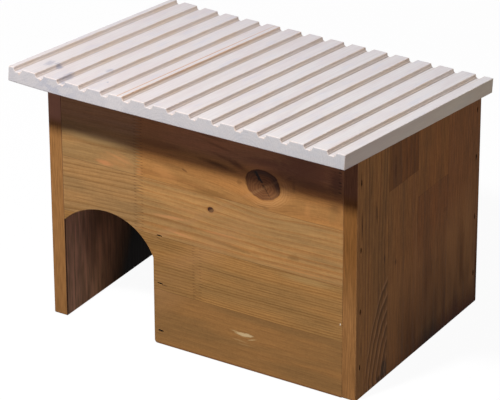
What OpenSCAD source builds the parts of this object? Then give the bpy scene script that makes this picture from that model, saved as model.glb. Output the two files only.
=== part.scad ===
// Hedgehog house: a stapled pine box without a floor, with an arched doorway, a partition
// that screens the nest from the door, and a grooved lid hinged along the back.
// Seen from the front, left is -X. The front faces -Y and the ground is z = 0.
// The origin is the middle of the ground under the whole house, lid and hinges included.

/* [Box] */
// Width over the two side walls
body_w = 416.5; // [360:0.5:520]
// Depth from the front face to the back face
body_d = 289; // [240:1:340]
// Height of the walls at the front face
front_h = 313; // [300:1:360]
// Height of the walls at the back face
back_h = 278.5; // [250:0.5:295]
// Thickness of the wall boards
wall_t = 18; // [15:1:22]
// Radius that eases the lower corners of the side walls
corner_r = 2; // [0.5:0.5:5]

/* [Doorway] */
// Width of the doorway, from the left wall to its straight right jamb
door_w = 125; // [110:0.5:150]
// Height of the doorway at its crown
door_h = 154; // [140:0.5:180]
// Width of the doorway to the right of its crown, which is also that arc's radius
door_right_r = 63.5; // [50:0.5:75]
// Drop from the crown to where the left arc meets the left wall
door_left_drop = 25; // [10:0.5:40]
// Radius that rounds the foot of the jamb
jamb_foot_r = 4; // [1:0.5:8]

/* [Partition] */
// Thickness of the partition board
partition_t = 18; // [15:1:22]
// Length of the partition behind the front wall
partition_l = 130; // [100:1:160]
// Height of the partition
partition_h = 161; // [150:1:200]

/* [Lid] */
// How far the lid stands out over the left wall
lid_left = 16.5; // [4:0.5:60]
// How far the lid stands out over the right wall
lid_right = 14; // [4:0.5:60]
// Thickness of the lid board
lid_t = 18; // [16:1:26]
// How far the lid stands out over the front face, along the ground
lid_front = 54.5; // [20:0.5:80]
// Room between the closed lid and the wall tops, square to the slope
lid_gap = 0.05; // [0.02:0.01:0.3]
// Height to which the lid's left edge has cupped up
lid_cup = 2.5; // [0:0.5:4]
// Width of the cupped part of the lid
lid_cup_l = 110; // [60:5:200]
// Distance from the lid's left edge to the middle of its first groove
groove_first = 13; // [10:0.5:20]
// Distance from one groove to the next
groove_pitch = 29.75; // [24:0.25:45]
// Width of a groove at the lid's upper face
groove_top_w = 11.5; // [10:0.5:16]
// Width of a groove at the foot of its steep walls
groove_shoulder_w = 9.9; // [8:0.1:9.9]
// Width of a groove at its floor
groove_floor_w = 6.5; // [4:0.1:7.9]
// Depth of a groove
groove_h = 4.6; // [3:0.1:6]
// Share of a groove's depth that its steep walls take
groove_wall_share = 0.65; // [0.4:0.05:0.8]

/* [Staples] */
// Length of a staple's crown
crown_w = 6.5; // [5:0.5:12]
// Width of the staple wire
wire_w = 1.3; // [1:0.1:1.8]
// Thickness of the staple wire
wire_t = 1; // [0.8:0.1:1.4]
// Length of a staple over its legs
staple_l = 38; // [30:1:50]
// Depth of a crown's outer face under the wood
staple_sink = 0.8; // [0.2:0.1:2]
// Room in a crown's slot at each end and side of the wire
slot_gap = 0.5; // [0.2:0.1:1]
// Distance from the partition's ends to its outer staples
partition_staple_end = 18; // [12:1:30]
// Number of staples that hold the partition
partition_staples = 3; // [2:1:4]

/* [Hinges] */
// Length of a hinge along its pin
hinge_l = 40; // [30:1:60]
// Distance from the pin's axis to the far edge of a leaf
leaf_w = 11.5; // [11:0.1:12]
// Thickness of the leaf sheet
leaf_t = 1.2; // [0.8:0.1:1.5]
// Radius that rounds the far corners of a leaf
leaf_corner_r = 1.5; // [0.5:0.1:3]
// Diameter of the hinge pin
pin_d = 2.8; // [2:0.1:3.4]
// Running clearance of the pin in its knuckles, on the radius
pin_gap = 0.05; // [0.02:0.01:0.1]
// Room between two knuckles along the pin
knuckle_gap = 0.2; // [0.1:0.05:0.5]
// Room between the knuckles and the wood
barrel_gap = 0.15; // [0.05:0.05:0.4]
// Thickness of the pin's riveted heads
pin_head_t = 0.7; // [0.4:0.1:1.2]
// Height to which a riveted head stands out past the pin's radius
pin_head_rim = 0.5; // [0.2:0.1:0.8]
// Distance from a side wall's outer face to the middle of the nearest hinge
hinge_inset = 72; // [45:1:120]
// Distance from the pin's axis to the screw holes
hole_off = 7; // [6.4:0.1:7.6]
// Distance from a hinge's ends to its screw holes
hole_end = 8; // [6:0.5:11]

/* [Screws] */
// Diameter of a screw's shank
screw_d = 3; // [2.5:0.1:3.4]
// Diameter of a screw's countersunk head
screw_head_d = 5.6; // [5:0.1:6.2]
// Length of a screw, head included
screw_l = 16; // [12:1:18]
// Length of a screw's point
screw_tip = 4; // [2:0.5:6]
// Clearance of the shank in the leaf's hole, on the radius
screw_gap = 0.15; // [0.05:0.05:0.3]
// Depth of the cross in a screw's head
cross_h = 1.1; // [0.6:0.1:1.4]
// Width of the cross's arms
cross_w = 0.7; // [0.4:0.1:1]
// Length of the cross from tip to tip
cross_l = 3; // [2:0.1:3.6]

/* [Hidden] */
$fn = 96;
// A cut reaches this far past the face that it opens.
over = 1;

// Heights of the corner staples, as shares of the wall's height there.
front_staple_shares = [0.13, 0.36, 0.61, 0.88];
back_staple_shares = [0.15, 0.42, 0.70, 0.92];
// Shares of the height above the doorway for the short corner on its left.
over_door_shares = [0.16, 0.48, 0.79];

inner_w = body_w - 2 * wall_t;
side_x = body_w / 2;
door_x = -side_x + wall_t;
jamb_x = door_x + door_w;
crown_x = jamb_x - door_right_r;
left_run = crown_x - door_x;
door_left_r = (pow(left_run, 2) + pow(door_left_drop, 2)) / (2 * door_left_drop);

// The lid rests on the sloping tops of the walls.
slope = atan((front_h - back_h) / body_d);
lid_x = -side_x - lid_left;
lid_w = body_w + lid_left + lid_right;
lid_l = (body_d + lid_front) / cos(slope);
// The last groove leaves a rib at least this wide along the right edge.
rib_min = 2;
groove_n = floor((lid_w - groove_first - groove_top_w / 2 - rib_min) / groove_pitch) + 1;
// Number of flats that follow the cupped underside.
cup_flats = 6;

// The pin lies behind the corner where the back wall meets the lid's back edge.
knuckle_r = pin_d / 2 + pin_gap + leaf_t;
axis_off = knuckle_r + barrel_gap;
axis_y = body_d + axis_off;
axis_z = back_h - axis_off * tan(slope / 2);
hinge_x = side_x - hinge_inset;
knuckle_n = 5;
knuckle_l = (hinge_l - (knuckle_n - 1) * knuckle_gap) / knuckle_n;

// The house stands with the middle of its whole width and depth over the origin.
house_x = (lid_left - lid_right) / 2;
front_y = -(axis_y + knuckle_r - lid_front) / 2;

PINE = "peru";
PINE_END = "sienna";
PALE = "gainsboro";
STEEL = "silver";
WIRE = "dimgray";

// Height of the wall tops at a depth y behind the front face.
function top_z(y) = front_h - y * tan(slope);

// Moves what is drawn from the front face to its place over the origin.
module in_house() {
    translate([house_x, front_y, 0]) children();
}

// Flat corner piece whose removal rounds a square corner at the origin to radius r.
module corner_cut(r) {
    difference() {
        translate([-over, -over]) square(r + over);
        translate([r, r]) circle(r);
    }
}

// Stands a flat (y, z) outline up and gives it a width along X.
module across(width) {
    translate([-width / 2, 0, 0])
        rotate([90, 0, 90])
            linear_extrude(width) children();
}

// Upright board across the house under the lid, from depth y0 to y1.
module cross_board(y0, y1) {
    across(inner_w) polygon([[y0, 0], [y1, 0], [y1, top_z(y1)], [y0, top_z(y0)]]);
}

// Outline of the doorway: two arcs that share the crown, a long one on the left.
module doorway() {
    top = door_h;
    intersection() {
        translate([crown_x, top - door_left_r]) circle(door_left_r, $fn = 240);
        translate([door_x - over, -over]) square([left_run + over, top + 2 * over]);
        translate([door_x - over, top - door_left_drop - over]) square(body_w);
    }
    translate([door_x - over, -over])
        square([left_run + over, top - door_left_drop + over]);
    intersection() {
        translate([crown_x, top - door_right_r]) circle(door_right_r, $fn = 240);
        translate([crown_x, -over]) square([door_right_r, top + 2 * over]);
    }
    translate([crown_x, -over]) square([door_right_r, top - door_right_r + over]);
}

// Flat shape with the same outline as what is drawn, cut away through the front wall.
module through_front() {
    translate([0, wall_t + over, 0])
        rotate([90, 0, 0])
            linear_extrude(wall_t + 2 * over) children();
}

// Side wall seen from its outer face at +X, with its two rows of crown slots.
module side_board(front_heights) {
    difference() {
        translate([side_x - wall_t / 2, 0, 0]) across(wall_t) difference() {
            polygon([[0, 0], [body_d, 0], [body_d, back_h], [0, front_h]]);
            corner_cut(corner_r);
            translate([body_d, 0]) mirror([1, 0]) corner_cut(corner_r);
        }
        corner_column(wall_t / 2, front_heights) crown_slot();
        corner_column(body_d - wall_t / 2, back_heights()) crown_slot();
    }
}

// Heights of the staples in each corner, in millimetres.
function front_heights() = [for (s = front_staple_shares) s * top_z(wall_t / 2)];
function back_heights() = [for (s = back_staple_shares) s * top_z(body_d - wall_t / 2)];
function over_door_heights() =
    let (low = door_h - door_left_drop, high = top_z(wall_t / 2))
    [for (s = over_door_shares) low + s * (high - low)];

// Copies a thing up the right wall's outer face, at a depth y and the heights given.
module corner_column(y, heights) {
    for (z = heights)
        translate([side_x, y, z]) rotate([0, 90, 0]) children();
}

// Copies a thing up the front face, along the middle of the partition.
module partition_column() {
    step = (partition_h - 2 * partition_staple_end) / (partition_staples - 1);
    for (i = [0 : partition_staples - 1])
        translate([jamb_x + partition_t / 2, 0, partition_staple_end + i * step])
            rotate([90, 0, 0]) children();
}

// Slot that a driven crown leaves, with the wood's face at z = 0 and outwards at +Z.
module crown_slot() {
    depth = staple_sink + wire_t;
    translate([-crown_w / 2 - slot_gap, -wire_w / 2 - slot_gap, -depth])
        cube([crown_w + 2 * slot_gap, wire_w + 2 * slot_gap, depth + over]);
}

// Driven staple, with the wood's face at z = 0.
module staple() {
    translate([-crown_w / 2, -wire_w / 2, -staple_sink - wire_t])
        cube([crown_w, wire_w, wire_t]);
    for (x = [-crown_w / 2, crown_w / 2 - wire_t])
        translate([x, -wire_w / 2, -staple_sink - staple_l])
            cube([wire_t, wire_w, staple_l]);
}

// Draws on the left what is drawn on the right.
module to_left() {
    mirror([1, 0, 0]) children();
}

module side_left() {
    color(PINE_END) in_house() to_left() side_board(over_door_heights());
}

module side_right() {
    color(PINE_END) in_house() side_board(front_heights());
}

module front_wall() {
    color(PINE) in_house() difference() {
        cross_board(0, wall_t);
        through_front() doorway();
        through_front() translate([jamb_x, 0]) corner_cut(jamb_foot_r);
        partition_column() crown_slot();
    }
}

module back_wall() {
    color(PINE) in_house() cross_board(body_d - wall_t, body_d);
}

module partition() {
    color(PINE) in_house()
        translate([jamb_x, wall_t, 0]) cube([partition_t, partition_l, partition_h]);
}

// Height to which the lid has cupped up at x.
function lift(x) = lid_cup * pow(max(0, 1 - (x - lid_x) / lid_cup_l), 2);

// Section of the lid, with its flat underside at 0, from the left edge to the right and
// back along the grooved face.
function lid_section() =
    let (
        foot_z = lid_t - groove_wall_share * groove_h,
        floor_z = lid_t - groove_h,
        flat_w = lid_cup_l / cup_flats,
        under = [for (i = [0 : cup_flats]) [lid_x + i * flat_w, 0]],
        grooves = [for (i = [groove_n - 1 : -1 : 0])
            let (x = lid_x + groove_first + i * groove_pitch) each [
                [x + groove_top_w / 2, lid_t],
                [x + groove_shoulder_w / 2, foot_z],
                [x + groove_floor_w / 2, floor_z],
                [x - groove_floor_w / 2, floor_z],
                [x - groove_shoulder_w / 2, foot_z],
                [x - groove_top_w / 2, lid_t]
            ]],
        right = lid_x + lid_w
    )
    [for (p = concat(under, [[right, 0], [right, lid_t]], grooves, [[lid_x, lid_t]]))
        [p[0], p[1] + lift(p[0])]];

module lid_panel() {
    color(PALE) in_house()
        translate([0, body_d, back_h])
            rotate([90 - slope, 0, 0])
                translate([0, lid_gap, 0])
                    linear_extrude(lid_l) polygon(lid_section());
}

module staples_left_front() {
    color(WIRE) in_house() to_left()
        corner_column(wall_t / 2, over_door_heights()) staple();
}

module staples_left_back() {
    color(WIRE) in_house() to_left()
        corner_column(body_d - wall_t / 2, back_heights()) staple();
}

module staples_right_front() {
    color(WIRE) in_house() corner_column(wall_t / 2, front_heights()) staple();
}

module staples_right_back() {
    color(WIRE) in_house()
        corner_column(body_d - wall_t / 2, back_heights()) staple();
}

module staples_partition() {
    color(WIRE) in_house() partition_column() staple();
}

// Moves what is drawn about the pin's axis to the hinge on the side given, -1 or 1.
module at_hinge(side) {
    in_house() translate([side * hinge_x, axis_y, axis_z]) children();
}

// Turns a leaf that hangs on the wall up against the lid's back edge.
module to_lid() {
    rotate([-slope, 0, 0]) mirror([0, 0, 1]) children();
}

// Cylinder along X about the pin's axis, from x0, with the length given.
module on_axis(r, x0, length) {
    translate([x0, 0, 0]) rotate([0, 90, 0]) cylinder(r = r, h = length);
}

// Places a thing at each screw of a leaf, with the leaf's outer face at z = 0.
module at_screws() {
    for (side = [-1, 1])
        translate([side * (hinge_l / 2 - hole_end), leaf_t - axis_off, -hole_off])
            rotate([-90, 0, 0]) children();
}

// Hinge leaf that hangs from the pin, its back at y = -axis_off.
// Parity 0 keeps knuckles 0, 2 and 4, and parity 1 keeps 1 and 3.
module hinge_leaf(parity) {
    pitch = knuckle_l + knuckle_gap;
    own = [for (i = [0 : knuckle_n - 1]) if (i % 2 == parity) i];
    other = [for (i = [0 : knuckle_n - 1]) if (i % 2 != parity) i];
    reach = knuckle_r + 2 * knuckle_gap;
    difference() {
        union() {
            translate([0, -axis_off + leaf_t, 0])
                rotate([90, 0, 0])
                    linear_extrude(leaf_t) difference() {
                        translate([-hinge_l / 2, -leaf_w]) square([hinge_l, leaf_w]);
                        for (side = [0, 1]) mirror([side, 0])
                            translate([-hinge_l / 2, -leaf_w]) corner_cut(leaf_corner_r);
                    }
            for (i = own)
                on_axis(knuckle_r, -hinge_l / 2 + i * pitch, knuckle_l);
        }
        for (i = other)
            translate([-hinge_l / 2 + i * pitch - knuckle_gap, -axis_off - over, -reach])
                cube([knuckle_l + 2 * knuckle_gap, axis_off + knuckle_r + 2 * over,
                      reach + knuckle_r + over]);
        on_axis(pin_d / 2 + pin_gap, -hinge_l / 2 - over, hinge_l + 2 * over);
        at_screws() {
            screw_head(over);
            translate([0, 0, -leaf_t - over])
                cylinder(d = screw_d + 2 * screw_gap, h = leaf_t + 2 * over);
        }
    }
}

// Countersunk head under z = 0, with a plain cylinder of the height given over it.
module screw_head(above) {
    head_h = (screw_head_d - screw_d) / 2;
    translate([0, 0, -head_h])
        cylinder(d1 = screw_d, d2 = screw_head_d, h = head_h);
    if (above > 0) cylinder(d = screw_head_d, h = above);
}

// Wood screw with its head flush at z = 0 and its point down.
module screw() {
    difference() {
        union() {
            screw_head(0);
            translate([0, 0, screw_tip - screw_l])
                cylinder(d = screw_d, h = screw_l - screw_tip - leaf_t / 2);
            translate([0, 0, -screw_l]) cylinder(d1 = 0, d2 = screw_d, h = screw_tip);
        }
        for (turn = [0, 90]) rotate(turn)
            translate([-cross_l / 2, -cross_w / 2, -cross_h])
                cube([cross_l, cross_w, cross_h + over]);
    }
}

// Pin with a riveted head against each outer knuckle.
module hinge_pin() {
    on_axis(pin_d / 2, -hinge_l / 2, hinge_l);
    for (x = [-hinge_l / 2 - pin_head_t, hinge_l / 2])
        on_axis(pin_d / 2 + pin_head_rim, x, pin_head_t);
}

module hinge_left_wall_leaf() { color(STEEL) at_hinge(-1) hinge_leaf(0); }
module hinge_left_lid_leaf() { color(STEEL) at_hinge(-1) to_lid() hinge_leaf(1); }
module hinge_left_pin() { color(WIRE) at_hinge(-1) hinge_pin(); }
module hinge_left_wall_screws() { color(STEEL) at_hinge(-1) at_screws() screw(); }
module hinge_left_lid_screws() { color(STEEL) at_hinge(-1) to_lid() at_screws() screw(); }
module hinge_right_wall_leaf() { color(STEEL) at_hinge(1) hinge_leaf(0); }
module hinge_right_lid_leaf() { color(STEEL) at_hinge(1) to_lid() hinge_leaf(1); }
module hinge_right_pin() { color(WIRE) at_hinge(1) hinge_pin(); }
module hinge_right_wall_screws() { color(STEEL) at_hinge(1) at_screws() screw(); }
module hinge_right_lid_screws() { color(STEEL) at_hinge(1) to_lid() at_screws() screw(); }

side_left();
side_right();
front_wall();
back_wall();
partition();
lid_panel();
staples_left_front();
staples_left_back();
staples_right_front();
staples_right_back();
staples_partition();
hinge_left_wall_leaf();
hinge_left_lid_leaf();
hinge_left_pin();
hinge_left_wall_screws();
hinge_left_lid_screws();
hinge_right_wall_leaf();
hinge_right_lid_leaf();
hinge_right_pin();
hinge_right_wall_screws();
hinge_right_lid_screws();
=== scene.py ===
# %% [markdown]
# A hedgehog house, dressed for its portrait
#
# The house is a box of 18 mm pine boards, stained brown and stapled together, with an arched
# doorway, a partition behind the door, and a whitewashed lid with rain grooves. Every size comes
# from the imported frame, which is already in metres, so each board built here lands exactly
# where the construction says. The work goes like this: measure the frame, set the camera,
# build the boards, mix the finishes, and light the table.

# %% Load the frame
import math
from collections import namedtuple

import bpy
import numpy as np
from mathutils import Matrix, Vector


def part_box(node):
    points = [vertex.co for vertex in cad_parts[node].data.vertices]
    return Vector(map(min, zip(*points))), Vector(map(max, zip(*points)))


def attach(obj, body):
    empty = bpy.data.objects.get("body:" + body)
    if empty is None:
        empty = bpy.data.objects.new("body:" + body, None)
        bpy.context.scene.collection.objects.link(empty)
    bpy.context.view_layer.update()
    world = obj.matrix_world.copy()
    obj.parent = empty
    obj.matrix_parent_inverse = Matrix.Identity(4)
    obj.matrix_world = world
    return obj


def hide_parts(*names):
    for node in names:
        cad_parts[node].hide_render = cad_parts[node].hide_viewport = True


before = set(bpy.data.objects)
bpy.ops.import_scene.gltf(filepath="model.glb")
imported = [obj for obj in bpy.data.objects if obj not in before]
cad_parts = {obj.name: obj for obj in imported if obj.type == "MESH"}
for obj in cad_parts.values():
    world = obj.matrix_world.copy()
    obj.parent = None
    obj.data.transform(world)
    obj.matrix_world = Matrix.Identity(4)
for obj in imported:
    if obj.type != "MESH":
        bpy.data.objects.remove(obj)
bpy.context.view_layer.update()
print("nodes in the frame:", len(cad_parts))

# %% [markdown]
# Measure the boards
#
# The six wooden boards are the frame's big pieces. Their thickness, the slope of the roof and the
# room under the lid all follow from the corners of their boxes, so nothing here
# repeats a size that the frame already knows. The doorway's arcs and the lid's cup are the
# exceptions: a box can't tell them, so they are written down as they were measured.

# %% Measures of the boards
left_lo, left_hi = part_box("side_left")
right_lo, right_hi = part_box("side_right")
front_lo, front_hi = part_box("front_wall")
back_lo, back_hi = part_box("back_wall")
divider_lo, divider_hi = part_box("partition")
lid_lo, lid_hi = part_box("lid_panel")

front_y, back_y = front_lo.y, back_hi.y
slope = math.atan((front_hi.z - back_hi.z) / (back_lo.y - front_lo.y))
lean = math.tan(slope)
wall_top_back = front_hi.z - lean * (back_y - front_y)
lid_gap = (lid_lo.z - wall_top_back) / math.cos(slope)
lid_cup, cup_wide = 0.0025, 0.110
lid_thick = (lid_hi.y - back_y) / math.sin(slope) - lid_gap - lid_cup
lid_long = (back_y + lid_gap * math.sin(slope) - lid_lo.y) / math.cos(slope)
lid_wide = lid_hi.x - lid_lo.x

door_top = 0.155
door_right = 0.070
door_drop = 0.0265
crown_to_jamb = 0.0645
foot_round = 0.004
jamb_x = divider_lo.x
crown_x = jamb_x - crown_to_jamb
door_left_run = crown_x - front_lo.x
door_left_round = (door_left_run ** 2 + door_drop ** 2) / (2 * door_drop)
print("slope %.2f degrees, lid %.1f x %.1f x %.1f mm" % (
    math.degrees(slope), lid_wide * 1e3, lid_long * 1e3, lid_thick * 1e3))

# %% [markdown]
# The camera
#
# The photograph looks down on the house from its front right with a long lens, so upright edges
# stay nearly parallel. The place and the aim below came from fitting the corners of
# the box to the corners in the photograph. A matrix built from three directions (right, up and
# back) sets the aim in one go, with no tracking constraint to keep alive.

# %% Camera
eye = Vector((1.862371, -3.0071, 1.908226))
eye_turn, eye_tilt, eye_roll = 0.555797, 0.460696, -0.004111
look = Vector((-math.sin(eye_turn) * math.cos(eye_tilt),
               math.cos(eye_turn) * math.cos(eye_tilt),
               -math.sin(eye_tilt)))
level_right = look.cross(Vector((0, 0, 1))).normalized()
level_up = level_right.cross(look)
eye_right = level_right * math.cos(eye_roll) + level_up * math.sin(eye_roll)
eye_up = level_up * math.cos(eye_roll) - level_right * math.sin(eye_roll)
lens = bpy.data.cameras.new("portrait lens")
lens.sensor_width = 36
lens.lens = 241.424
lens.clip_end = 50
camera = bpy.data.objects.new("camera", lens)
camera.matrix_world = Matrix((
    (eye_right.x, eye_up.x, -look.x, eye.x),
    (eye_right.y, eye_up.y, -look.y, eye.y),
    (eye_right.z, eye_up.z, -look.z, eye.z),
    (0, 0, 0, 1)))
bpy.context.scene.collection.objects.link(camera)
bpy.context.scene.camera = camera
print("camera %.2f m from the house" % eye.length)

# %% [markdown]
# How a board is shaped
#
# A sawn board is a flat outline pushed through its thickness, and its edges are never knife
# sharp: sandpaper takes off about half a millimetre. So a board is built as a stack of rings.
# Each ring is the same outline, drawn in by a small inset near the two faces and full size
# in between. The inset follows a quarter circle, which is what an eased edge looks like in section.

# %% Rings of a board
least_round = 5e-5


def ring(points, rounds, inset, arc=4):
    """Draws the outline in by `inset`. A corner moves along the line that halves it, by the inset
    divided by the cosine of half the turn. A corner with a round becomes an arc of
    (round - inset) outside, or (round + inset) in a hollow, about the point where both sides,
    moved in by inset plus that radius, would meet."""
    points = np.asarray(points, float)
    rounds = np.asarray(rounds, float)
    ahead = np.roll(points, -1, 0) - points
    ahead /= np.linalg.norm(ahead, axis=1)[:, None]
    inward_next = np.stack([-ahead[:, 1], ahead[:, 0]], 1)
    inward_last = np.roll(inward_next, 1, 0)
    dot = (inward_next * inward_last).sum(1)
    cross = inward_last[:, 0] * inward_next[:, 1] - inward_last[:, 1] * inward_next[:, 0]
    turn = np.arctan2(cross, dot)
    middle = (inward_last + inward_next) / (1 + dot)[:, None]
    side = np.where(turn > 0, 1.0, -1.0)
    radius = np.where(rounds > 0, np.maximum(rounds - side * inset, least_round), 0)
    many = np.where(rounds > 0, arc + 1, 1)
    which = np.repeat(np.arange(len(points)), many)
    first = np.cumsum(many) - many
    share = (np.arange(len(which)) - first[which]) / arc
    angle = share * turn[which]
    start = inward_last[which]
    spun = np.stack([start[:, 0] * np.cos(angle) - start[:, 1] * np.sin(angle),
                     start[:, 0] * np.sin(angle) + start[:, 1] * np.cos(angle)], 1)
    centre = points + middle * (inset + side * radius)[:, None]
    return centre[which] - spun * (side * radius)[which][:, None]


def arc_points(centre, radius, start, end, step=2.0):
    """Points on a circle about the centre, from one angle to another in degrees, both ends in."""
    count = max(2, int(abs(end - start) / step) + 1)
    angle = np.radians(np.linspace(start, end, count))
    return np.stack([centre[0] + radius * np.cos(angle), centre[1] + radius * np.sin(angle)], 1)


print("a square with four rounds:", len(ring([(0, 0), (1, 0), (1, 1), (0, 1)], [0.1] * 4, 0.0)), "points")


# %% Skin over the rings
def skin(count, rings, flip):
    """Faces of a stack of rings of `count` points: a quad between each point, the next one and the
    two above them, and a cap at either end. `flip` turns them over."""
    index = np.arange(count)
    after = (index + 1) % count
    start = np.arange(rings - 1)[:, None] * count
    quads = np.stack([index + start, after + start, after + start + count, index + start + count], 2)
    faces = quads.reshape(-1, 4).tolist()
    faces.append(index[::-1].tolist())
    faces.append((index + (rings - 1) * count).tolist())
    return [face[::-1] for face in faces] if flip else faces


def add_piece(name, spots, faces):
    """Puts points and faces into a mesh and links an object for it, which sits at the origin."""
    mesh = bpy.data.meshes.new(name)
    mesh.from_pydata(np.asarray(spots).tolist(), [], faces)
    piece = bpy.data.objects.new(name, mesh)
    bpy.context.scene.collection.objects.link(piece)
    return piece


print("three rings of a square:", len(skin(4, 3, False)), "faces")

# %% Boards from rings
ease = 0.0007
corner = 0.0009
facet_angle = math.radians(4)


def board(name, outline, rounds, thick, place, reshape=None, arc=4, ease=ease, turns=(0, 30, 60, 90)):
    """Pushes an outline (a, b) through a thickness c and eases both rims: at an angle t of the
    quarter circle the ring is drawn in by ease * (1 - sin t) at a depth of ease * (1 - cos t).
    `place` turns (a, b, c) into the row frame and `reshape` then moves the finished points.
    The mesh also carries its wear: sin 2t, which is most halfway round an eased edge."""
    quarter = np.radians(turns)
    rings = [ring(outline, rounds, inset, arc) for inset in ease * (1 - np.sin(quarter))]
    depths = ease * (1 - np.cos(quarter))
    levels = list(zip(rings, depths)) + list(zip(rings[::-1], thick - depths[::-1]))
    count = len(rings[0])
    local = np.concatenate([np.column_stack([flat, np.full(count, depth)]) for flat, depth in levels])
    place = np.asarray(place, float)
    spots = local @ place[:, :3].T + place[:, 3]
    if reshape is not None:
        spots = reshape(spots)
    piece = add_piece(name, spots, skin(count, len(levels), np.linalg.det(place[:, :3]) < 0))
    mesh = piece.data
    wear = np.sin(2 * quarter)
    wear = np.repeat(np.concatenate([wear, wear[::-1]]), count)
    mesh.attributes.new("wear", "FLOAT", "POINT").data.foreach_set("value", wear.astype(np.float32))
    mesh.shade_smooth()
    mesh.set_sharp_from_angle(angle=facet_angle)
    return piece


print("eased edges: %.1f mm, corners: %.1f mm" % (ease * 1e3, corner * 1e3))

# %% [markdown]
# Slots for the staples
#
# The staple gun drives each crown a little under the surface and leaves a thin dark slit with
# pointed ends. A slit could be painted, but a cut one catches light and shade from every side.
# Here each cutter is a small lens-shaped plug, and one Boolean takes all of a board's plugs away.
# The floor of each slit is also painted near black: painted shade, with some crushed fibre.

# %% Slot cutters
slot_long = 0.0078
slot_half = 0.00130
slot_levels = [(-0.0019, 0.85), (0.0, 1.0), (0.001, 1.06)]
slot_curve, slot_points = 0.4, 15
staple_apart = 0.02
touching = 2e-5


def slot_plug(centre, along, across, out):
    """A plug with a lens outline: half width = slot_half * (1 - (2 a / slot_long)^2) ^ 0.4. Its
    levels are (height over the face, size), so it tapers to 85% at the bottom of the slot."""
    run = np.sin(np.linspace(-0.5 * np.pi, 0.5 * np.pi, slot_points))
    half = slot_half * np.maximum(1 - run ** 2, 0) ** slot_curve
    outline = np.concatenate([np.column_stack([run, half])[:-1], np.column_stack([run, -half])[::-1][:-1]])
    outline[:, 0] *= slot_long / 2
    spots = np.concatenate([
        centre + np.outer(outline[:, 0] * size, along) + np.outer(outline[:, 1] * size, across)
        + depth * np.asarray(out) for depth, size in slot_levels])
    flip = np.dot(np.cross(along, across), out) > 0
    return spots, skin(len(outline), len(slot_levels), flip)


def points_of(mesh):
    """All points of a mesh as one array of (x, y, z)."""
    flat = np.empty(len(mesh.vertices) * 3, np.float32)
    mesh.vertices.foreach_get("co", flat)
    return flat.reshape(-1, 3)


def cut_slots(piece, plugs):
    """Takes the plugs out of a board with one exact Boolean and keeps the result as its mesh. The
    bottom of each slot then gets a value of -1 in the wear attribute, so that the finish can paint it
    near black: painted shade in the slot, with some crushed fibre."""
    faces, start = [], 0
    for spots, plug_faces in plugs:
        faces += [[number + start for number in face] for face in plug_faces]
        start += len(spots)
    plug = add_piece("plugs", np.concatenate([spots for spots, plug_faces in plugs]), faces)
    cut = piece.modifiers.new("slots", "BOOLEAN")
    cut.operation = "DIFFERENCE"
    cut.solver = "EXACT"
    cut.object = plug
    bpy.context.view_layer.update()
    done = bpy.data.meshes.new_from_object(piece.evaluated_get(bpy.context.evaluated_depsgraph_get()))
    piece.modifiers.clear()
    old, piece.data = piece.data, done
    done.name = old.name.split(".")[0]
    spent = [old, plug.data]
    bpy.data.objects.remove(plug)
    for mesh in spent:
        bpy.data.meshes.remove(mesh)
    floors = np.concatenate([spots[:len(spots) // len(slot_levels)] for spots, plug_faces in plugs])
    near = np.linalg.norm(points_of(done)[:, None] - floors[None], axis=2).min(1)
    wear = np.empty(len(done.vertices), np.float32)
    done.attributes["wear"].data.foreach_get("value", wear)
    wear[near < touching] = -1
    done.attributes["wear"].data.foreach_set("value", wear)
    print("%s: %d slots, %d faces" % (piece.name, len(plugs), len(done.polygons)))


def staple_spots(node):
    """Middle of each staple in a node: its loose parts are sorted by height, and staples of one
    corner differ in height, so a gap of more than 20 mm starts the next one."""
    points = points_of(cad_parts[node].data).astype(float)
    points = points[np.argsort(points[:, 2])]
    breaks = np.flatnonzero(np.diff(points[:, 2]) > staple_apart) + 1
    return [(part.min(0) + part.max(0)) / 2 for part in np.split(points, breaks)]


print("a staple slot: %.1f x %.1f mm" % (slot_long * 1e3, slot_half * 2e3))

# %% [markdown]
# The side walls
#
# Each side wall is one glued pine panel with its grain upright, a sloping top and lower corners
# that are just broken. Its outline lies in depth and height, and its thickness runs across the
# house. The outer faces get two columns of staple slots. The left wall has fewer at the
# front, because the doorway leaves no front wall to staple to lower down.

# %% Side walls
lower_corner = 0.002


def side_wall(name, lo, hi):
    """Outline in (depth, height): flat foot, upright front and back, and a top that falls with the
    slope."""
    outline = [(front_y, 0), (back_y, 0), (back_y, wall_top_back), (front_y, front_hi.z)]
    rounds = [lower_corner, lower_corner, corner, corner]
    place = [[0, 0, 1, lo.x], [1, 0, 0, 0], [0, 1, 0, 0]]
    piece = board(name, outline, rounds, hi.x - lo.x, place)
    out = (1, 0, 0) if lo.x > 0 else (-1, 0, 0)
    face = hi.x if lo.x > 0 else lo.x
    nodes = [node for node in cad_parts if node.startswith("staples_" + name[5:])]
    cut_slots(piece, [slot_plug(np.array((face, spot[1], spot[2])), (0, 0, 1), (0, 1, 0), out)
                      for node in sorted(nodes) for spot in staple_spots(node)])
    return piece


wall_left = side_wall("wall_left", left_lo, left_hi)
wall_right = side_wall("wall_right", right_lo, right_hi)

# %% [markdown]
# The front wall and its doorway
#
# The front panel has its grain lying down. The doorway is cut out of its lower left corner: a
# flat arc climbs from the left wall to the crown, and a rounder one comes down to a straight
# jamb, which it meets at a slight corner, and the jamb's foot is rounded. The top edge leans
# with the roof, so after the outline is pushed through the board, every point near the top
# drops by the slope times its depth.

# %% Front wall
lean_from = 0.2


def lean_top(spots):
    """Lowers the points near the top by the slope times their distance behind the front face."""
    high = spots[:, 2] > lean_from
    spots[high, 2] -= lean * (spots[high, 1] - front_y)
    return spots


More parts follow.
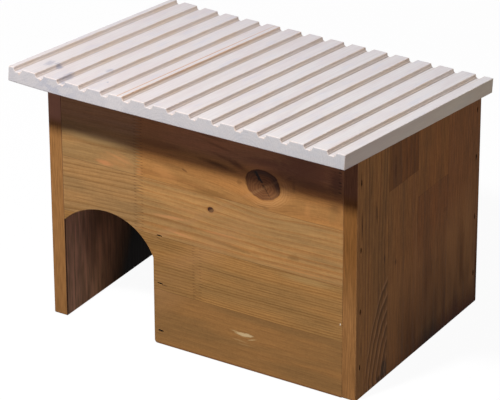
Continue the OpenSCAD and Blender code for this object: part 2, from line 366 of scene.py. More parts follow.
left_turn = math.degrees(math.atan2(door_left_round - door_drop, -door_left_run))
jamb_turn = math.degrees(math.acos(crown_to_jamb / door_right))
doorway = np.concatenate([
    arc_points((crown_x, door_top - door_left_round), door_left_round, left_turn, 90)[1:],
    arc_points((crown_x, door_top - door_right), door_right, 90, jamb_turn, 3)[1:],
    arc_points((jamb_x + foot_round, foot_round), foot_round, 180, 270, 11.25)])
front_outline = np.concatenate([
    [(front_lo.x, door_top - door_drop)], doorway,
    [(front_hi.x, 0), (front_hi.x, front_hi.z), (front_lo.x, front_hi.z)]])
front_rounds = np.zeros(len(front_outline))
front_rounds[[0, -3, -2, -1]] = corner
wall_front = board("wall_front", front_outline, front_rounds, front_hi.y - front_y,
                   [[1, 0, 0, 0], [0, 0, 1, front_y], [0, 1, 0, 0]], lean_top)
cut_slots(wall_front, [slot_plug(np.array((spot[0], front_y, spot[2])), (1, 0, 0), (0, 0, 1), (0, -1, 0))
                       for spot in staple_spots("staples_partition")])

# %% [markdown]
# The back wall and the partition
#
# Nobody sees much of these, but a hedgehog does: the back wall closes the box between the side
# walls, and the partition screens the nest from the door, so a fox can't reach round it. They are
# plain boards, made the same way as the others.

# %% Back wall and partition
back_outline = [(back_lo.x, 0), (back_hi.x, 0), (back_hi.x, front_hi.z), (back_lo.x, front_hi.z)]
wall_back = board("wall_back", back_outline, [corner] * 4, back_hi.y - back_lo.y,
                  [[1, 0, 0, 0], [0, 0, 1, back_lo.y], [0, 1, 0, 0]], lean_top)
divider_outline = [(divider_lo.y, 0), (divider_hi.y, 0), (divider_hi.y, divider_hi.z),
                   (divider_lo.y, divider_hi.z)]
divider = board("divider", divider_outline, [corner] * 4, divider_hi.x - divider_lo.x,
                [[0, 0, 1, divider_lo.x], [1, 0, 0, 0], [0, 1, 0, 0]])
print("boards of the box:", [piece.name for piece in (wall_left, wall_right, wall_front, wall_back, divider)])

# %% [markdown]
# The lid
#
# The lid is a deck board: a cutter with slanting cheeks and a rounded nose has run fifteen rain
# grooves into its upper face, so each groove has a steep wall, a cove at its foot and a flat
# floor. The board has also cupped: its left edge has curled up by a couple of millimetres,
# which shows as a slow bend along the front. Its section is drawn once from the left
# edge to the right and back along the grooves, and then pushed down the slope.

# %% Lid
groove_pitch = 0.02975
groove_first = 0.013
groove_top = 0.0115
groove_shoulder = 0.0099
groove_floor = 0.0065
groove_deep = 0.0046
wall_deep = 0.65 * groove_deep
groove_rounds = [0.0007, 0.0030, 0.0026]
groove_count = 15
cup_points = 13
lid_edge_round = 0.0015
groove_at = -lid_wide / 2 + groove_first + np.arange(groove_count) * groove_pitch


def lift(x):
    """Rise of the cupped edge: the cup times the square of the share of its width still to go."""
    return lid_cup * np.maximum(0, 1 - (x + lid_wide / 2) / cup_wide) ** 2


half_groove = [(groove_top / 2, 0), (groove_shoulder / 2, -wall_deep), (groove_floor / 2, -groove_deep)]
groove = np.array(half_groove + [(-x, z) for x, z in half_groove[::-1]]) + (0, lid_thick)
under = -lid_wide / 2 + np.linspace(0, cup_wide, cup_points)
lid_outline = np.concatenate([
    np.column_stack([under, 0 * under]),
    [(lid_wide / 2, 0), (lid_wide / 2, lid_thick)],
    (groove[None] + np.stack([groove_at[::-1], 0 * groove_at], 1)[:, None]).reshape(-1, 2),
    [(-lid_wide / 2, lid_thick)]])
lid_outline[:, 1] += lift(lid_outline[:, 0])
lid_rounds = np.concatenate([
    [corner], np.zeros(cup_points - 1), [corner] * 2,
    np.tile(groove_rounds + groove_rounds[::-1], groove_count), [lid_edge_round]])
up = np.array((0, math.sin(slope), math.cos(slope)))
down_slope = np.array((0, math.cos(slope), -math.sin(slope)))
lid_foot = np.array((0, back_y, wall_top_back)) + lid_gap * up
lid_start = lid_foot - lid_long * down_slope
lid_board = board("lid_board", lid_outline, lid_rounds, lid_long,
                  np.column_stack([(1, 0, 0), up, down_slope, lid_start]), arc=18,
                  ease=0.0012, turns=np.linspace(0, 90, 9))
print("lid: %d grooves, %d faces" % (groove_count, len(lid_board.data.polygons)))

# %% [markdown]
# Wiring finishes by hand
#
# A finish is a tree of nodes, and most of them do sums. Written out node by node, a sum hides
# what it is for. So an output is wrapped as a Wire that can be added and multiplied, and a
# formula is written here as it is read: each sign adds its own node. Colours are written as they
# look in a picture, 0 to 255, and turned into the linear light that Blender works in.

# %% Wires and nodes
def colour(red, green, blue):
    """Picture colour to linear light: (c + 0.055) / 1.055 to the power 2.4, or c / 12.92 near black."""
    parts = np.array((red, green, blue)) / 255
    linear = np.where(parts > 0.04045, ((parts + 0.055) / 1.055) ** 2.4, parts / 12.92)
    return (*linear.tolist(), 1.0)


def put(tree, kind, values=(), **settings):
    """Adds a node, sets its properties and fills its sockets: in order, or by name from a dict."""
    node = tree.nodes.new(kind)
    for name, value in settings.items():
        setattr(node, name, value)
    for label, value in values.items() if isinstance(values, dict) else enumerate(values):
        if isinstance(value, (Wire, bpy.types.NodeSocket)):
            tree.links.new(getattr(value, "socket", value), node.inputs[label])
        else:
            node.inputs[label].default_value = value
    return node


class Wire:
    """One output of a node. Arithmetic on it adds a Math node, or a Vector Math node where it
    carries a vector, to the tree that it belongs to."""

    def __init__(self, socket):
        self.socket = socket
        self.tree = socket.id_data

    def do(self, operation, *others, output=0):
        """Adds the node of one operation on this wire and others."""
        kind = "ShaderNodeVectorMath" if self.socket.type == "VECTOR" else "ShaderNodeMath"
        return Wire(put(self.tree, kind, (self, *others), operation=operation).outputs[output])

    def __add__(self, other):
        return self.do("ADD", other)

    def __mul__(self, other):
        return self.do("MULTIPLY", other)

    def __sub__(self, other):
        return self.do("SUBTRACT", other)

    def __rsub__(self, other):
        return self.do("MULTIPLY_ADD", -1.0, other)

    def __truediv__(self, other):
        return self.do("DIVIDE", other)

    def __pow__(self, power):
        return self.do("POWER", power)

    def __abs__(self):
        return self.do("ABSOLUTE")

    def __gt__(self, other):
        return self.do("GREATER_THAN", other)

    __radd__, __rmul__ = __add__, __mul__

    def parts(self):
        """A vector to its three numbers."""
        return [Wire(part) for part in put(self.tree, "ShaderNodeSeparateXYZ", (self,)).outputs]

    def length(self):
        return self.do("LENGTH", output=1)

    def dot(self, other):
        return self.do("DOT_PRODUCT", other, output=1)

    def off(self, middle):
        """Distance from a middle value."""
        return abs(self - middle)

    def climb(self, low, high, start=0.0, end=1.0):
        """Goes from start, at low, to end, at high, in a soft S curve, and holds both ends."""
        return Wire(put(self.tree, "ShaderNodeMapRange", (self, low, high, start, end),
                        clamp=True, interpolation_type="SMOOTHSTEP").outputs[0])

    def fall(self, low, high, start=1.0, end=0.0):
        return self.climb(low, high, start, end)

    def band(self, low, full, still, gone):
        """Climbs to one from low to full, and falls to nothing from still to gone."""
        return self.climb(low, full) * self.fall(still, gone)


def tree_of(*values):
    """The tree of the first wire among some values."""
    return next(value.tree for value in values if isinstance(value, Wire))


def join(x, y, z=0.0):
    """Three numbers to a vector."""
    return Wire(put(tree_of(x, y, z), "ShaderNodeCombineXYZ", (x, y, z)).outputs[0])


print("a middle grey of 188 in linear light: %.3f" % colour(188, 188, 188)[0])


# %% Noise, colours and tables
def cloud(where, size, detail=2.0, rough=0.5, shift=0.0):
    """Smooth noise between 0 and 1. `size` is the length of one blotch along each axis, and
    `shift` slides the pattern sideways, so that each plank gets its own."""
    slide = join(shift, shift, shift) if isinstance(shift, Wire) else (shift,) * 3
    node = put(where.tree, "ShaderNodeTexNoise",
               {"Vector": where / size + slide, "Scale": 1, "Detail": detail, "Roughness": rough})
    return Wire(node.outputs[0])


def blend(share, under, over, kind="MIX"):
    """Blends two colours by a share. A row of three numbers is a picture colour."""
    under, over = [value if isinstance(value, Wire) else colour(*value) for value in (under, over)]
    return Wire(put(tree_of(share, under, over), "ShaderNodeMix", {0: share, 6: under, 7: over},
                    data_type="RGBA", blend_type=kind, clamp_factor=True).outputs[2])


def tinted(under, over, share=1.0):
    """A colour multiplied by another, as glaze does, or by a share of it."""
    return blend(share, under, over, "MULTIPLY")


def shaded(tone, number):
    """A colour made lighter or darker by a number."""
    return tinted(tone, join(number, number, number))


def coats(tone, *layers):
    """Lays coats over a tone one after another, each a share and a colour."""
    for share, over in layers:
        tone = blend(share, tone, over)
    return tone


def shelf(number, table):
    """Looks a whole number up in a table of colours: a ramp with one hard-edged step for each row."""
    node = put(number.tree, "ShaderNodeValToRGB", ((number + 0.5) / float(len(table)),))
    ramp = node.color_ramp
    ramp.interpolation = "CONSTANT"
    while len(ramp.elements) < len(table):
        ramp.elements.new(1.0)
    for place, row in enumerate(table):
        ramp.elements[place].position = place / len(table)
        ramp.elements[place].color = tuple(row) + (1.0,) * (4 - len(row))
    return Wire(node.outputs[0])


measure_span = 2000.0


def measures(number, table):
    """Looks up to three measures up by number. A ramp is surest between 0 and 1, so each one is
    kept as measure / span + 1/2."""
    kept = shelf(number, [[value / measure_span + 0.5 for value in row] for row in table])
    return [(part - 0.5) * measure_span for part in kept.parts()[:len(table[0])]]


print("a table keeps measures up to %d mm either way" % (measure_span / 2))


# %% Effects and surfaces
def effect(name, inputs, rule):
    """Builds a node group with named inputs (number or vector). The rule works on them, by name,
    and returns the outputs by name."""
    tree = bpy.data.node_groups.new(name, "ShaderNodeTree")
    for label, start in inputs.items():
        kind = "NodeSocketVector" if isinstance(start, tuple) else "NodeSocketFloat"
        tree.interface.new_socket(label, in_out="INPUT", socket_type=kind).default_value = start
    given = put(tree, "NodeGroupInput").outputs
    made = rule(**{label.lower().replace(" ", "_"): Wire(given[label]) for label in inputs})
    for label in made:
        tree.interface.new_socket(label, in_out="OUTPUT", socket_type="NodeSocketFloat")
    put(tree, "NodeGroupOutput", made)
    print("%s: %d nodes" % (name, len(tree.nodes)))
    return tree


def use(group, **values):
    """Places a group in the tree of its inputs, which are given by name, and returns its outputs."""
    inputs = {label.replace("_", " ").capitalize(): value for label, value in values.items()}
    node = put(tree_of(*values.values()), "ShaderNodeGroup", inputs, node_tree=group)
    return {socket.name: Wire(socket) for socket in node.outputs}


def blank_tree(owner):
    """Turns on the nodes of a material or a world and clears them."""
    owner.use_nodes = True
    owner.node_tree.nodes.clear()
    return owner.node_tree


def millimetres(tree):
    """Object coordinates in millimetres."""
    return Wire(put(tree, "ShaderNodeTexCoord").outputs["Object"]) * (1000.0, 1000.0, 1000.0)


# The wear attribute also marks the floors of the staple slots with -1, for their painted shade.
def wear_and_slot_shade_of(tree):
    """The wear that the mesh of a board carries."""
    return Wire(put(tree, "ShaderNodeAttribute", attribute_name="wear").outputs["Fac"])


def surface(finish, tone, gloss, height, relief, fine=0.0004, **plain):
    """Ends a finish with its bump and its shader. A number that is the same all over goes straight
    onto the shader's own socket."""
    tree = finish.node_tree
    bump = put(tree, "ShaderNodeBump", {"Strength": relief, "Distance": fine, "Height": height})
    shader = put(tree, "ShaderNodeBsdfPrincipled", {
        "Base Color": tone, "Roughness": gloss, "Normal": bump.outputs[0],
        **{label.replace("_", " "): value for label, value in plain.items()}})
    put(tree, "ShaderNodeOutputMaterial", (shader.outputs[0],))
    print("%s: %d nodes" % (finish.name, len(tree.nodes)))
    return finish


print("helpers:", [helper.__name__ for helper in (effect, use, blank_tree, millimetres, wear_and_slot_shade_of, surface)])

# %% [markdown]
# Pine, grown and sawn
#
# A board looks the way it does because a saw went through a stack of yearly rings. So the pattern
# is not drawn on the face: rings are laid as tubes round a pith line that runs along the
# plank, and the surface shows whatever part of them it cuts. A pith far to the side gives fine
# straight lines, one close behind the face gives broad flames, and the ends show
# arcs, all from the same few numbers. Each ring starts pale (spring wood), darkens slowly
# (summer wood) and stops sharply. All lengths in the group are millimetres.

# %% Growth rings
def growth_rule(place, pith_across, pith_deep, ring_width, wander, seed):
    """Distance from the pith, plus two sizes of noise for a trunk that didn't grow straight, divided
    by the ring width. The part after the decimal point is the place inside one ring."""
    across, deep = place.parts()[1:]
    slow = cloud(place, (230, 60, 60), 1.0, 0.5, seed)
    quick = cloud(place, (60, 14, 14), 2.0, 0.55, seed + 3.7)
    away = join(across - pith_across, deep - pith_deep).length()
    away += (slow - 0.5) * (wander * 3.0) + (quick - 0.5) * (wander * 0.45)
    years = away / ring_width
    years += cloud(join(years, seed), (3.1, 1, 1), 1.0, 0.5, seed) * 2.2
    inside = years.do("FRACT")
    dark = inside.climb(0.12, 0.86) ** 1.6 * inside.fall(0.90, 1.0)
    year = join(years.do("FLOOR"), seed.do("FLOOR"))
    luck = put(place.tree, "ShaderNodeTexWhiteNoise", noise_dimensions="2D")
    place.tree.links.new(year.socket, luck.inputs["Vector"])
    dash = cloud(place, (7, 0.55, 0.55), 1.0, 0.5, seed + 5.1)
    return {
        "Ring": dark * (Wire(luck.outputs["Value"]) * 0.65 + 0.35),
        "Fibre": cloud(place, (26, 0.9, 0.9), 3.0, 0.6, seed),
        "Drift": cloud(place, (160, 22, 22), 2.0, 0.5, seed + 11.3),
        "Fleck": dash.climb(0.66, 0.78),
        "Silk": cloud(place, (3.2, 5.5, 5.5), 2.0, 0.5, seed + 7.9)}


growth = effect(
    "pine growth",
    {"Place": (0.0, 0.0, 0.0), "Pith across": 0.0, "Pith deep": 40.0, "Ring width": 4.0,
     "Wander": 4.0, "Seed": 0.0}, growth_rule)

# %% [markdown]
# Knots and marks
#
# A knot is a branch that the trunk grew round, so the grain parts in front of it and closes behind,
# as water does round a post. That is the formula used: the distance from the knot's
# middle line shrinks by (1 - radius squared / distance squared), which bends every line
# round a circle. The knot itself has its own small rings and, when it dries, a crack. A mark is
# simpler: a soft-edged ellipse, turned to any angle, for stains, scratches and spots, and also
# for patches of painted shade and painted light.

# %% Knots
def knot_rule(place, knot_along, knot_across, radius, stretch, seed):
    """Flow round a circle of the knot's radius, after the long axis is pressed to the same length.
    Out come how far the grain is pushed across, the knot's own mask and rim, its rings, its crack,
    a halo, ripples: the rings of the trunk that close round the branch on its lower right, and a
    darker upper side, partly a dark band in the wood and partly painted shade of the lid's shadow."""
    along, across = place.parts()[:2]
    wobble = cloud(place, (9, 9, 30), 2.0, 0.5, seed) - 0.5
    run = (along - knot_along) / stretch
    rise = across - knot_across
    share = join(run, rise).length() / radius + wobble * 0.20
    upper = ((run * 0.35 + rise) / radius).climb(-0.9, 0.2, 0.25, 1.0)
    # Painted shade on the knot's upper side, where the lid's shadow crosses it, over a darker band in the
    # wood.
    top_shade_side = ((run * 0.55 + rise) / radius).climb(-0.1, 0.55)
    lower = ((run - rise) / radius).climb(0.2, 1.2)
    pith_run = run - radius * 0.10
    pith_rise = rise + radius * 0.16
    ring_at = join(pith_run, pith_rise).length() / 2.9 + wobble * 2.0
    fine = (cloud(place, (2.6, 2.6, 9), 3.0, 0.65, seed) - 0.5) * 4.2
    off = abs(pith_rise * 0.56 + pith_run + fine)
    width = rise.climb(-12.0, 11.0, 0.6, 2.2) * fine.climb(-0.7, 0.7, 0.55, 1.5)
    line = (off / width).fall(0.55, 1.15) * rise.off(1.2).climb(0.5, 1.6) * rise.climb(-5.0, 4.0, 0.55, 1.0)
    ripple = (share * 7.5).do("PINGPONG", 0.5).climb(0.1, 0.45)
    return {
        "Push": rise * -1.0 / share.do("MAXIMUM", 1.0) ** 2.0,
        "Mask": share.fall(0.95, 1.02),
        "Rim": upper * share.band(0.90, 0.98, 1.0, 1.06),
        "Rings": ring_at.do("PINGPONG", 0.5).climb(0.08, 0.42),
        "Crack": line * share.fall(0.88, 0.99),
        "Halo": share.fall(1.0, 1.9),
        "Ripples": ripple * lower * share.band(1.02, 1.10, 1.25, 1.75),
        "Dark side": top_shade_side * share.band(0.50, 0.86, 0.98, 1.03)}


knot_effect = effect(
    "knot",
    {"Place": (0.0, 0.0, 0.0), "Knot along": 0.0, "Knot across": 0.0, "Radius": 8.0,
     "Stretch": 1.0, "Seed": 0.0}, knot_rule)


# %% Marks
def mark_rule(place, centre, half_size, turn, soft, ragged):
    """One inside an ellipse with half sizes (along, across), turned by an angle, and fading to
    nothing at its edge. `Soft` is the share of the size that the fade takes."""
    turned = put(place.tree, "ShaderNodeVectorRotate", {"Vector": place - centre, "Angle": turn},
                 rotation_type="Z_AXIS")
    size = (Wire(turned.outputs[0]) * (1.0, 1.0, 0.0) / half_size).length()
    size += (cloud(place, (6, 2.2, 6), 3.0, 0.6) - 0.5) * ragged
    return {"Mask": size.fall(1.0 - soft, 1.0)}


mark_effect = effect(
    "mark",
    {"Place": (0.0, 0.0, 0.0), "Centre": (0.0, 0.0, 0.0), "Half size": (5.0, 5.0, 1.0),
     "Turn": 0.0, "Soft": 0.5, "Ragged": 0.2}, mark_rule)


def marked(tone, place, marks):
    """Lays a list of marks on a tone. Each row gives the centre and the half size (along, across) in
    millimetres, the turn in degrees, how soft and how ragged it is, its colour and its share."""
    for centre, half, turn, soft, ragged, dye, amount in marks:
        spot = use(mark_effect, place=place, centre=(*centre, 0.0), half_size=(*half, 1.0),
                   turn=math.radians(turn), soft=soft, ragged=ragged)
        tone = blend(spot["Mask"] * amount, tone, dye)
    return tone


# %% [markdown]
# Planks in a glued panel
#
# Wide panels are glued up from narrow planks, and each plank from shorter lengths whose ends
# interlock like fingers. The finish has to know which length it is on, because every length came
# from another tree. So it counts the seams below a point, tests which side of that plank's
# finger joint it is on, and looks the answer up in a table: where the pith lay, how wide
# the rings are, and the two tones that its spring and summer wood took from the stain.

# %% Which length of which plank
finger_pitch = 3.8
finger_long = 11.0


def panel_number(place, seams, joints, fingers):
    """Number of the length at a place, and a mask of its glue lines. The number is twice the
    count of seams below, plus one beyond the finger joint, whose line zigzags by
    |fraction - 1/2| across the grain. Glue pockets at the tips of the fingers count double."""
    along, across = place.parts()[:2]
    count = sum(across > seam for seam in seams)
    lines = 0.0
    for seam in seams:
        lines = across.off(seam).fall(0.1, 0.55).do("MAXIMUM", lines)
    joint_at = measures(count, [(at,) for at in joints])[0]
    teeth = (across / finger_pitch).do("FRACT").off(0.5) - 0.25
    teeth *= finger_long * 2 if fingers else 0.0
    past = along - joint_at - teeth
    gap = abs(past)
    lines = (gap.fall(0.2, 1.5 if fingers else 0.5) * 0.7).do("MAXIMUM", lines)
    if fingers:
        tips = abs(teeth).climb(finger_long * 0.30, finger_long * 0.46) * gap.fall(0.4, 2.4)
        lines = (tips * 2.1).do("MAXIMUM", lines)
    return count * 2.0 + (past > 0.0), lines


def grain_place(tree, axes, origin):
    """Object coordinates turned to (along, across, deep) of the grain, in millimetres from an origin."""
    parts = millimetres(tree).parts()
    return join(*[parts["XYZ".index(axis)] for axis in axes]) - tuple(value * 1000 for value in origin)


print("fingers: %.1f mm apart, %.0f mm long" % (finger_pitch, finger_long))

# %% Panel finish
Length = namedtuple("Length", "pith_across pith_deep ring_width show wander tilt spring summer")
Branch = namedtuple("Branch", "heart rings rim halo halo_tone flow crack ripple ripple_tone",
                    defaults=(0.0, 0.0, (0, 0, 0)))


def knot_tones(tone, knot, kind, fibre):
    """Paints one knot: its halo and ripples on the wood, then its rings, its darker upper side, which is
    partly painted shade, its rim and its crack.
    """
    inner = shaded(blend(knot["Rings"] * 0.6, kind.heart, kind.rings), fibre)
    return coats(
        tone, (knot["Halo"] * kind.halo, kind.halo_tone), (knot["Ripples"] * kind.ripple, kind.ripple_tone),
        (knot["Mask"], inner), (knot["Dark side"] * 0.75, (48, 34, 29)), (knot["Rim"] * 0.8, kind.rim),
        (knot["Crack"] * kind.crack, (20, 11, 8)))


def stained_pine(name, axes, origin, seams, joints, rows, seed, knots=(), marks=(), shade=None,
                 fingers=True, shine=0.1):
    """The stained pine of one panel. Each row gives the pith (across, deep), the ring width, how
    strongly rings show, the wander, the tilt of the grain, and the tones of spring and summer
    wood. A knot gives its place (along, across), radius, stretch and kind of branch."""
    finish = bpy.data.materials.new(name)
    tree = blank_tree(finish)
    place = grain_place(tree, axes, origin)
    number, lines = panel_number(place, seams, joints, fingers)
    rows = [Length(*row) for row in rows]
    pith_across, pith_deep, ring_width = measures(
        number, [(row.pith_across, row.pith_deep, row.ring_width) for row in rows])
    show, wander, tilt = measures(number, [(row.show, row.wander, row.tilt) for row in rows])
    pale = shelf(number, [colour(*row.spring)[:3] for row in rows])
    warm = shelf(number, [colour(*row.summer)[:3] for row in rows])

    bent = place - join(0.0, tilt * place.parts()[0])
    close = 0.0
    branches = []
    for at, across, radius, stretch, kind in knots:
        knot = use(knot_effect, place=place, knot_along=at, knot_across=across, radius=radius,
                   stretch=stretch, seed=seed + at / 10)
        bent += join(0.0, knot["Push"])
        close = (knot["Halo"] * kind.flow).do("MAXIMUM", close)
        branches.append((knot, kind))
    wood = use(growth, place=bent, pith_across=pith_across, pith_deep=pith_deep, ring_width=ring_width,
               wander=wander, seed=number * 13.7 + seed)

    fibre = wood["Fibre"].climb(0.28, 0.72, 0.83, 1.12)
    tone = blend(wood["Ring"] * (show + close), pale, warm)
    tone = shaded(tone, wood["Drift"].climb(0.3, 0.7, 0.86, 1.12) * fibre
                  * wood["Silk"].climb(0.3, 0.7, 0.965, 1.035))
    tone = tinted(tone, (255, 236, 214), wood["Drift"].climb(0.35, 0.65, 0.0, 0.35))
    tone = coats(tone, (wood["Fleck"] * 0.28, (70, 44, 26)), (lines * 0.42, (74, 43, 25)))
    tone = marked(tone, place, marks)
    height = wood["Ring"] * 0.5 + wood["Fibre"] * 0.7 - lines * 0.4
    for knot, kind in branches:
        tone = knot_tones(tone, knot, kind, fibre)
        height -= knot["Crack"] * (2.0 * kind.crack) + knot["Rim"] * 0.6
    if shade is not None:
        tone = shade(place, tone, wood)

    # Worn edges take a paler glaze. The slot floors, marked -1, are painted near black: painted shade in the
    # recess, with some crushed fibre.
    worn_and_slot_shade = wear_and_slot_shade_of(tree)
    tone = coats(tone, (worn_and_slot_shade * wood["Drift"].climb(0.35, 0.6, 0.15, 0.55), (176, 132, 86)),
                 (worn_and_slot_shade.fall(-0.45, -0.05), (14, 9, 7)))
    gloss = wood["Ring"] * -0.10 + wood["Fibre"].climb(0.2, 0.8, 0.56, 0.68)
    return surface(finish, tone, gloss, height, 0.35, Specular_IOR_Level=shine)


# %% [markdown]
# The front panel
#
# Four planks lie one above the other. The two upper ones are joined by fingers just right of the
# doorway's crown, and the one below has its joint further right. The top right length holds
# the big round knot with its drying crack, which sits right under the lid's shadow. A
# small pin knot, a pale scratch near the foot and a drop of glue by the right wall make it
# this panel and no other.

# %% Front panel finish
big_knot = Branch((130, 86, 52), (98, 62, 38), (66, 34, 18), 0.35, (192, 134, 76), 0.5, 1.0, 0.4,
                  (214, 164, 104))
pin_knot = Branch((70, 40, 26), (54, 32, 22), (44, 26, 17), 0.25, (150, 100, 54), 0.2)
foot_knot = Branch((38, 25, 18), (28, 19, 14), (22, 15, 11), 0.55, (66, 42, 28), 0.4)
front_rows = [
    (-90, 60, 7.0, 0.26, 3.0, 0.0, (154, 114, 66), (134, 95, 53)),
    (-90, 60, 7.0, 0.26, 3.0, 0.0, (154, 114, 66), (134, 95, 53)),
    (250, 55, 3.4, 0.80, 3.0, 0.02, (166, 124, 71), (136, 96, 49)),
    (-60, 60, 3.0, 0.85, 3.0, 0.01, (168, 127, 74), (136, 96, 49)),
    (290, 60, 5.2, 0.85, 3.0, 0.060, (170, 132, 84), (140, 104, 60)),
    (30, 70, 7.0, 0.85, 5.0, 0.01, (176, 136, 84), (160, 112, 62)),
    (330, 40, 9.0, 0.50, 6.0, 0.05, (170, 133, 84), (152, 112, 64)),
    (262, 55, 8.0, 0.50, 7.0, -0.01, (180, 130, 74), (150, 100, 54))]
front_marks_and_painted_light = [
    ((268, 45.2), (14, 3.0), -4, 0.5, 0.9, (216, 190, 140), 0.9),
    ((258, 46.4), (10, 1.2), 3, 0.6, 1.0, (206, 176, 122), 0.6),
    ((278, 41.2), (8, 1.0), -18, 0.6, 1.0, (206, 176, 122), 0.6),
    ((262, 36), (14, 1.2), 2, 0.6, 1.4, (184, 148, 98), 0.45),
    ((268, 32), (11, 1.0), -2, 0.6, 1.4, (180, 144, 94), 0.35),
    ((395.6, 95), (0.9, 1.6), 0, 0.4, 0.4, (238, 228, 204), 0.95),
    ((78, 218.5), (17, 5.0), 3, 0.8, 0.6, (206, 140, 88), 0.75),
    ((100, 229), (30, 3.4), 13, 0.9, 0.5, (202, 142, 88), 0.55),
    ((95, 223), (32, 9), 10, 1.0, 0.5, (192, 136, 82), 0.5),
    ((104, 233), (22, 4), 22, 1.0, 0.5, (196, 138, 84), 0.3),
    ((126, 219), (6, 7), 0, 0.9, 0.8, (202, 142, 86), 0.45),
    ((48, 236), (26, 2.2), 2, 0.8, 1.0, (182, 142, 92), 0.5),
    ((158, 79.6), (5.5, 0.7), 3, 0.6, 0.4, (64, 38, 22), 0.9),
    ((150.6, 140.0), (4.6, 1.0), 12, 0.7, 0.5, (74, 46, 26), 0.7),
    ((151.5, 17.4), (4.6, 1.0), 4, 0.7, 0.5, (74, 46, 26), 0.7),
    ((160, 226), (26, 12), 20, 0.9, 0.9, (196, 138, 80), 0.5),
    ((188, 236.5), (5, 1.6), 20, 0.6, 0.8, (96, 64, 38), 0.6),
    ((222, 216), (30, 6), -6, 0.7, 0.7, (126, 92, 50), 0.45),
    # Painted shade: darkens the lid's shadow edge left of the big knot.
    ((232, 255), (38, 5), 6, 1.0, 0.6, (72, 42, 27), 0.8),
    ((240, 266), (30, 3.4), 12, 1.0, 0.5, (84, 52, 32), 0.45),
    ((236, 278), (34, 3.0), 9, 1.0, 0.5, (84, 52, 32), 0.45),
    ((222, 288), (30, 3.4), 4, 1.0, 0.5, (88, 56, 34), 0.45),
    # The next four rows are painted shade: they deepen the lid's shadow at the right end and darken its soft
    # lower edge.
    ((350, 278), (50, 28), 0, 0.8, 0.5, (104, 64, 42), 0.6),
    ((390, 272), (14, 26), 0, 0.8, 0.5, (76, 46, 32), 0.7),
    ((356, 259), (58, 8), 0, 0.7, 0.5, (98, 60, 40), 0.6),
    ((388, 238), (12, 12), 0, 0.9, 0.8, (128, 92, 54), 0.6),
    # Painted light: a pale band that lifts the lid's shadow edge at the left end.
    ((68, 247), (62, 8), -1, 0.7, 0.2, (222, 184, 120), 0.65),
    # The next five rows are painted shade along the lid's shadow edge.
    ((298, 273), (40, 9), -4, 0.9, 0.8, (88, 54, 38), 0.5),
    ((306, 262), (30, 8), -8, 0.8, 0.6, (78, 46, 33), 0.6),
    ((152, 260.5), (62, 8), -1, 0.8, 0.4, (112, 73, 45), 0.5),
    ((262, 260), (22, 6), 20, 0.9, 0.8, (88, 54, 36), 0.75),
    ((328, 262), (16, 4), -28, 0.9, 0.8, (92, 56, 38), 0.5),
    ((352, 228), (6, 16), 8, 0.8, 0.8, (194, 136, 78), 0.4),
    ((384, 228), (8, 14), -4, 0.9, 0.8, (150, 112, 64), 0.45),
    ((334, 254), (3, 12), 0, 0.8, 0.8, (96, 64, 38), 0.45),
    ((294, 217.0), (12, 2.6), 3, 0.7, 1.2, (112, 80, 44), 0.7),
    ((262, 240), (5, 4), 0, 0.7, 0.9, (132, 90, 48), 0.6),
    ((240, 240), (12, 3), 30, 0.9, 0.9, (196, 138, 80), 0.4),
    ((250, 155), (48, 3.6), 4, 0.8, 0.7, (124, 92, 50), 0.55),
    ((334, 163), (11, 6.5), -14, 0.8, 1.0, (130, 94, 52), 0.5),
    ((352, 138), (52, 6), -1, 0.8, 0.6, (176, 142, 88), 0.6),
    ((340, 202), (56, 7), 0, 0.9, 0.6, (184, 146, 92), 0.4),
    ((168, 171), (34, 3.0), -4, 0.8, 0.8, (206, 144, 92), 0.6),
    ((180, 153), (30, 2.6), 5, 0.8, 0.8, (206, 144, 92), 0.6),
    ((236, 167), (40, 2.0), -2, 0.8, 0.9, (198, 138, 84), 0.6),
    ((340, 147.5), (60, 2.2), -1, 0.8, 0.8, (196, 138, 80), 0.55),
    ((196, 186), (30, 3.4), 0, 0.9, 0.8, (196, 140, 86), 0.4),
    ((372, 90), (26, 1.6), 0, 0.7, 1.2, (112, 80, 44), 0.5),
    ((250, 118), (60, 1.2), 0, 0.7, 1.6, (112, 78, 42), 0.45)]
tear_at, tear_pitch = 394.0, 4.1


def front_shade(place, tone, wood):
    """Dark tear-out where the saw left the front panel at the right wall: a comb of short dots. The
    panel is darker along its foot, and under the lid it gets a colder tint, painted shade in the
    lid's shadow."""
    along, across = place.parts()[:2]
    teeth = (across / tear_pitch).do("FRACT").off(0.5).fall(0.14, 0.32)
    torn = cloud(place, (8, 9, 9), 2.0, 0.6, 2.2).climb(0.3, 0.5)
    dots = along.off(tear_at).fall(1.0, 2.8) * teeth * across.band(248.0, 262.0, 300.0, 310.0) * torn
    tone = blend(dots * 0.7, tone, (26, 15, 10))
    # Painted shade: a colder tint over the band in the lid's shadow, stronger towards the right.
    painted_shade_tint = blend(along.climb(130.0, 200.0), (255, 252, 274), (255, 252, 292))
    tone = tinted(tone, painted_shade_tint, across.climb(256.0, 272.0))
    return blend(across.fall(0.6, 4.0, 0.55), tone, (96, 56, 34))


front_pine = stained_pine(
    "front pine", "XZY", (left_lo.x, 0, front_y), (72.2, 142.6, 213.8), (1000, 203.5, 124.5, 124.5),
    front_rows, 4.0, knots=[(293.2, 244.4, 18.5, 1.24, big_knot), (223.2, 195.2, 3.4, 1.2, pin_knot)],
    marks=front_marks_and_painted_light, shade=front_shade)
